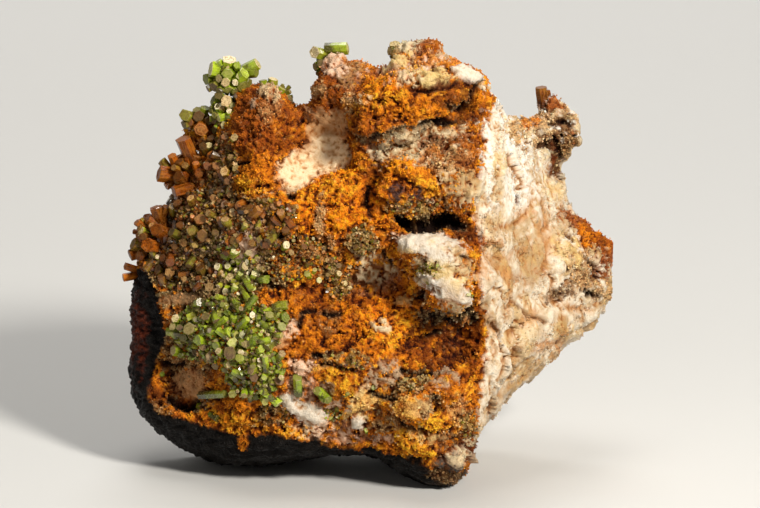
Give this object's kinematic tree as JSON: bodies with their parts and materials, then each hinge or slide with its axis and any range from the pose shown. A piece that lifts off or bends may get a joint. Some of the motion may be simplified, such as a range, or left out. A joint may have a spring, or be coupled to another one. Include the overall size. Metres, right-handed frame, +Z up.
{
  "type": "pyromorphite specimen",
  "caption": "Cabinet mineral specimen: six-sided green and amber pyromorphite crystals on ochre limonite and milky vein quartz, standing on its own flat foot.",
  "frame": {"origin": "middle of the bounding box, on the surface that the foot stands on", "axes": "+Z up, +X along the specimen's width as its crystal-bearing face is looked at, the face looks along -Y and leans back 14 degrees"},
  "size_m": [0.1095, 0.0664, 0.0954],
  "materials": {
    "matrix_rock": "rough granular limonite, milky quartz and goethite",
    "ochre_crust": "granular earthy limonite crust",
    "milky_quartz": "sugary broken vein quartz",
    "goethite_rind": "dark rough botryoidal rind",
    "green_pyromorphite": "glossy resinous crystal faces with dusty tan ends",
    "olive_pyromorphite": "brownish-olive crystal faces with tan ends",
    "amber_pyromorphite": "orange-brown glossy crystal faces"
  },
  "bodies": {
    "root": {"matrix": "matrix_rock", "crest_crystals": "green_pyromorphite", "neck_crystals": "olive_pyromorphite", "left_tip_crystals": "olive_pyromorphite", "rear_crest_crystals": "olive_pyromorphite", "amber_prisms": "amber_pyromorphite", "shoulder_prisms": "amber_pyromorphite", "rim_prisms": "amber_pyromorphite", "peak_prisms": "green_pyromorphite", "summit_prisms": "green_pyromorphite", "arm_prism": "amber_pyromorphite", "sill_prism": "green_pyromorphite", "rim_edge_prism": "green_pyromorphite", "upright_prism": "green_pyromorphite", "lying_prisms": "green_pyromorphite", "twin_prisms": "green_pyromorphite", "ledge_crystals": "green_pyromorphite", "green_druse": "green_pyromorphite", "brown_druse": "olive_pyromorphite"}
  },
  "joints": []
}
